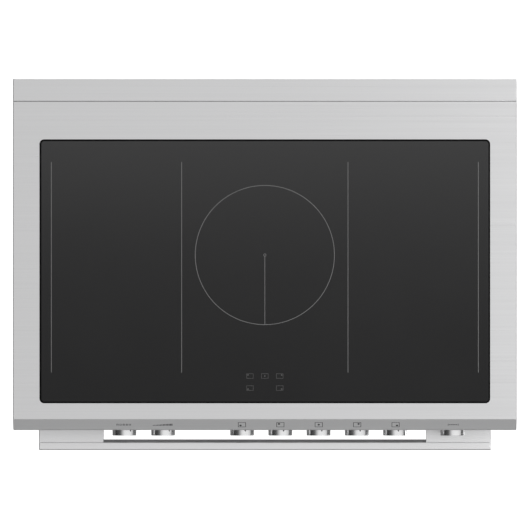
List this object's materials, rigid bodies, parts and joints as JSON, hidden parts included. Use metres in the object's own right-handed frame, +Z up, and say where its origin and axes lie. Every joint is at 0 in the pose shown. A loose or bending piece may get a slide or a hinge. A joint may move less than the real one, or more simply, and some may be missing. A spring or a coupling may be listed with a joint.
{
  "type": "induction range",
  "caption": "Free-standing induction range: black glass cooktop in a brushed steel top, front knobs, drop-down oven door with bar handle, storage drawer and levelling feet.",
  "frame": {"origin": "on the floor, under the middle of the overall box", "axes": "+X to the user's right, +Y towards the wall behind, +Z up; the controls and the doors face -Y"},
  "size_m": [0.912, 0.6754, 0.917],
  "materials": {
    "brushed_steel": "brushed stainless steel, fine grain across the width",
    "cooktop_glass": "black glass-ceramic, satin, with grey zone lines",
    "black_seal": "black silicone",
    "zinc_sheet": "galvanised sheet",
    "copper_winding": "lacquered copper litz winding",
    "carrier_plastic": "heat-proof moulding with ferrite bars",
    "circuit_board": "green circuit board",
    "heat_sink_aluminium": "extruded aluminium",
    "fan_plastic": "black moulded plastic",
    "display_lens": "black gloss lens",
    "knob_metal": "turned metal, fine satin",
    "switch_plastic": "black moulded plastic",
    "side_paint": "silver-grey painted steel, fine orange peel",
    "black_enamel": "gloss black enamel",
    "oven_enamel": "speckled dark enamel",
    "leg_steel": "satin stainless steel",
    "foot_steel": "plated steel",
    "kick_steel": "brushed stainless steel",
    "screw_steel": "plated steel",
    "insulation_wool": "mineral wool",
    "rack_chrome": "chromed wire",
    "heater_steel": "oxidised heating element",
    "fan_steel": "plain steel",
    "motor_steel": "zinc-plated steel",
    "lamp_glass": "frosted lamp glass",
    "gasket_fibre": "woven glass-fibre rope",
    "door_glass": "dark reflective door glass",
    "clear_glass": "clear toughened glass",
    "hinge_steel": "zinc-plated steel",
    "drawer_steel": "black painted sheet",
    "runner_steel": "zinc-plated steel"
  },
  "bodies": {
    "chassis": {"worktop": "brushed_steel", "cooktop_glass": "cooktop_glass", "glass_seal": "black_seal", "rear_trim": "brushed_steel", "coil_tray": "zinc_sheet", "side_induction_coils": "copper_winding", "centre_induction_coil": "copper_winding", "coil_carriers": "carrier_plastic", "electronics_tray": "zinc_sheet", "inverter_boards": "circuit_board", "heat_sinks": "heat_sink_aluminium", "cooling_fan_housing": "fan_plastic", "control_panel": "brushed_steel", "display_window": "display_lens", "rotary_encoders": "switch_plastic", "side_panel_right": "side_paint", "side_panel_left": "side_paint", "rear_panel": "zinc_sheet", "terminal_box": "zinc_sheet", "base_frame": "zinc_sheet", "front_frame": "black_enamel", "leg_sleeves": "leg_steel", "kick_plate": "kick_steel", "body_screws": "screw_steel", "oven_liner": "oven_enamel", "oven_insulation": "insulation_wool", "rack_guides": "rack_chrome", "grill_element": "heater_steel", "convection_baffle": "oven_enamel", "convection_motor": "motor_steel", "oven_lamps": "lamp_glass", "door_gasket": "gasket_fibre", "door_hinge_brackets": "hinge_steel", "drawer_runners": "runner_steel"},
    "oven_door": {"door_outer_panel": "brushed_steel", "door_window_glass": "door_glass", "door_inner_panel": "black_enamel", "door_inner_glass": "clear_glass", "door_hinge_arms": "hinge_steel", "handle_bar": "brushed_steel", "handle_brackets": "brushed_steel"},
    "storage_drawer": {"drawer_front": "brushed_steel", "drawer_box": "drawer_steel", "drawer_slides": "runner_steel"},
    "lower_rack": {"oven_rack_lower": "rack_chrome"},
    "upper_rack": {"oven_rack_upper": "rack_chrome"},
    "cooling_fan_rotor": {"cooling_fan": "fan_plastic"},
    "convection_fan_rotor": {"convection_fan": "fan_steel"},
    "knob_oven_function": {"knob_oven_function": "knob_metal"},
    "knob_oven_temperature": {"knob_oven_temperature": "knob_metal"},
    "knob_zone_left_front": {"knob_zone_left_front": "knob_metal"},
    "knob_zone_left_rear": {"knob_zone_left_rear": "knob_metal"},
    "knob_zone_centre": {"knob_zone_centre": "knob_metal"},
    "knob_zone_right_rear": {"knob_zone_right_rear": "knob_metal"},
    "knob_zone_right_front": {"knob_zone_right_front": "knob_metal"},
    "knob_timer": {"knob_timer": "knob_metal"},
    "foot_front_left": {"levelling_foot_front_left": "foot_steel"},
    "foot_front_right": {"levelling_foot_front_right": "foot_steel"},
    "foot_rear_left": {"levelling_foot_rear_left": "foot_steel"},
    "foot_rear_right": {"levelling_foot_rear_right": "foot_steel"}
  },
  "joints": [
    {"name": "oven_door_hinge", "type": "hinge", "parent": "chassis", "child": "oven_door", "pos_m": [0, -0.26635, 0.272], "axis": [1, 0, 0], "range_deg": [0, 90], "stiffness_Nm_per_rad": 16, "springref_deg": -20.05},
    {"name": "storage_drawer_slide", "type": "slide", "parent": "chassis", "child": "storage_drawer", "axis": [0, -1, 0], "range_m": [0, 0.38]},
    {"name": "lower_rack_slide", "type": "slide", "parent": "chassis", "child": "lower_rack", "axis": [0, -1, 0], "range_m": [0, 0.025]},
    {"name": "upper_rack_slide", "type": "slide", "parent": "chassis", "child": "upper_rack", "axis": [0, -1, 0], "range_m": [0, 0.025]},
    {"name": "cooling_fan_spin", "type": "hinge", "parent": "chassis", "child": "cooling_fan_rotor", "pos_m": [0, -0.16235, 0.804], "axis": [0, -1, 0], "continuous": true},
    {"name": "convection_fan_spin", "type": "hinge", "parent": "chassis", "child": "convection_fan_rotor", "pos_m": [0, 0.20365, 0.5], "axis": [0, -1, 0], "continuous": true},
    {"name": "knob_oven_function_turn", "type": "hinge", "parent": "chassis", "child": "knob_oven_function", "pos_m": [-0.2557, -0.29235, 0.829], "axis": [0, 1, 0], "range_deg": [0, 320]},
    {"name": "knob_oven_temperature_turn", "type": "hinge", "parent": "chassis", "child": "knob_oven_temperature", "pos_m": [-0.1852, -0.29235, 0.829], "axis": [0, 1, 0], "range_deg": [0, 270]},
    {"name": "knob_zone_left_front_turn", "type": "hinge", "parent": "chassis", "child": "knob_zone_left_front", "pos_m": [-0.0415, -0.29235, 0.829], "axis": [0, 1, 0], "range_deg": [0, 285]},
    {"name": "knob_zone_left_rear_turn", "type": "hinge", "parent": "chassis", "child": "knob_zone_left_rear", "pos_m": [0.0281, -0.29235, 0.829], "axis": [0, 1, 0], "range_deg": [0, 285]},
    {"name": "knob_zone_centre_turn", "type": "hinge", "parent": "chassis", "child": "knob_zone_centre", "pos_m": [0.0977, -0.29235, 0.829], "axis": [0, 1, 0], "range_deg": [0, 285]},
    {"name": "knob_zone_right_rear_turn", "type": "hinge", "parent": "chassis", "child": "knob_zone_right_rear", "pos_m": [0.1673, -0.29235, 0.829], "axis": [0, 1, 0], "range_deg": [0, 285]},
    {"name": "knob_zone_right_front_turn", "type": "hinge", "parent": "chassis", "child": "knob_zone_right_front", "pos_m": [0.2369, -0.29235, 0.829], "axis": [0, 1, 0], "range_deg": [0, 285]},
    {"name": "knob_timer_turn", "type": "hinge", "parent": "chassis", "child": "knob_timer", "pos_m": [0.3413, -0.29235, 0.829], "axis": [0, 1, 0], "range_deg": [0, 300]},
    {"name": "foot_front_left_height", "type": "slide", "parent": "chassis", "child": "foot_front_left", "axis": [0, 0, -1], "range_m": [0, 0.035]},
    {"name": "foot_front_right_height", "type": "slide", "parent": "chassis", "child": "foot_front_right", "axis": [0, 0, -1], "range_m": [0, 0.035]},
    {"name": "foot_rear_left_height", "type": "slide", "parent": "chassis", "child": "foot_rear_left", "axis": [0, 0, -1], "range_m": [0, 0.035]},
    {"name": "foot_rear_right_height", "type": "slide", "parent": "chassis", "child": "foot_rear_right", "axis": [0, 0, -1], "range_m": [0, 0.035]}
  ]
}
